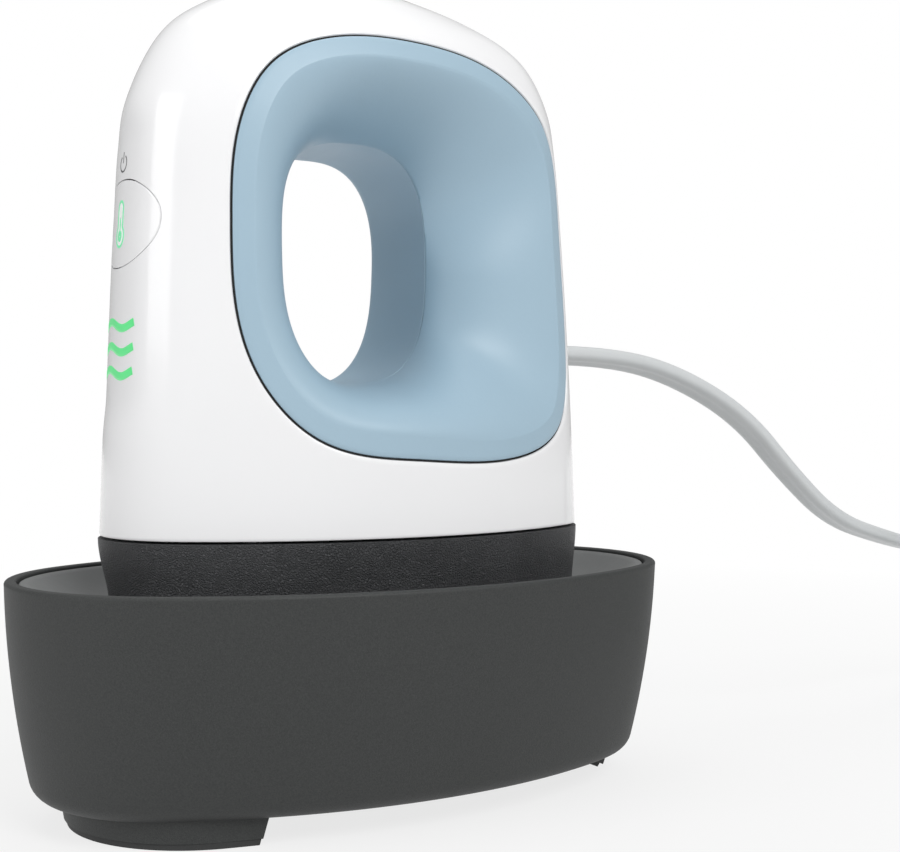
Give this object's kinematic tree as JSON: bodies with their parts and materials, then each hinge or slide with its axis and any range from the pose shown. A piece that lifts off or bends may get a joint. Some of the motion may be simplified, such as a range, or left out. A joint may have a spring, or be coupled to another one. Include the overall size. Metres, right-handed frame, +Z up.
{
  "type": "mini handheld heat press",
  "caption": "Small handheld heat press with a hand hole, button and lit symbols, standing in a dark heat-proof stand.",
  "frame": {"origin": "centre of the stand's outline on the surface that it rests on", "axes": "+Z up, -X towards the nose with the button, +X towards the cord"},
  "size_m": [0.2779, 0.1211, 0.1385],
  "materials": {
    "shell_white": "gloss, moulded",
    "grip_blue": "soft satin, moulded",
    "collar_dark": "fine leather grain",
    "stand_dark": "fine spark-eroded grain",
    "tray_dark": "satin",
    "rubber_dark": "matt",
    "silicone_mat": "matt",
    "plate_metal": "coated, smooth",
    "steel": "plated",
    "brass": "plated",
    "insulation": "pressed fibre",
    "ceramic": "ceramic",
    "board_green": "solder mask",
    "chip_black": "moulded",
    "inner_plastic": "moulded",
    "lit_green": "translucent, lit",
    "cord_white": "satin",
    "wire_red": "satin"
  },
  "bodies": {
    "stand": {"stand_shell": "stand_dark", "stand_liner": "tray_dark", "stand_screws": "steel", "rest_mat": "silicone_mat", "front_foot": "stand_dark", "front_foot_pad": "rubber_dark", "rear_foot": "stand_dark", "rear_foot_pad": "rubber_dark", "power_cord": "cord_white", "cord_coil": "cord_white", "cord_tail": "cord_white", "cord_tie": "rubber_dark", "plug_body": "cord_white", "plug_blades": "brass"},
    "press": {"heat_plate": "plate_metal", "heating_element": "steel", "element_clamp": "steel", "clamp_screw": "steel", "element_terminals": "brass", "thermistor": "ceramic", "thermal_fuse": "steel", "sensor_clips": "steel", "collar": "collar_dark", "collar_gasket": "rubber_dark", "plate_standoffs": "ceramic", "plate_screws": "steel", "insulation_board": "insulation", "heat_shield": "steel", "heater_leads": "wire_red", "housing": "shell_white", "left_grip": "grip_blue", "right_grip": "grip_blue", "heat_wave_windows": "lit_green", "switch_body": "chip_black", "control_board": "board_green", "control_board_chips": "chip_black", "board_carrier": "inner_plastic", "board_screws": "steel", "indicator_lamps": "ceramic", "light_guide": "inner_plastic", "power_board": "board_green", "power_board_parts": "chip_black", "power_board_screws": "steel", "housing_screws": "steel", "strain_relief": "cord_white", "cord_clamp": "inner_plastic", "cord_clamp_screws": "steel", "supply_leads": "wire_red"},
    "power_button": {"power_button": "shell_white", "thermometer_lens": "lit_green"},
    "switch_plunger": {"switch_plunger": "chip_black"}
  },
  "joints": [
    {"name": "press_lift", "type": "slide", "parent": "stand", "child": "press", "axis": [0, 0, 1], "range_m": [0, 0.045], "deforming": ["power_cord"]},
    {"name": "button_press", "type": "slide", "parent": "press", "child": "power_button", "axis": [1, 0, 0], "range_m": [0, 0.0006], "stiffness_N_per_m": 2500, "springref_m": -0.0002},
    {"name": "plunger_slide", "type": "slide", "parent": "press", "child": "switch_plunger", "axis": [1, 0, 0], "range_m": [0, 0.0006]}
  ],
  "couplings": [
    {"joint": "plunger_slide", "follows": "button_press", "ratio": 1}
  ]
}
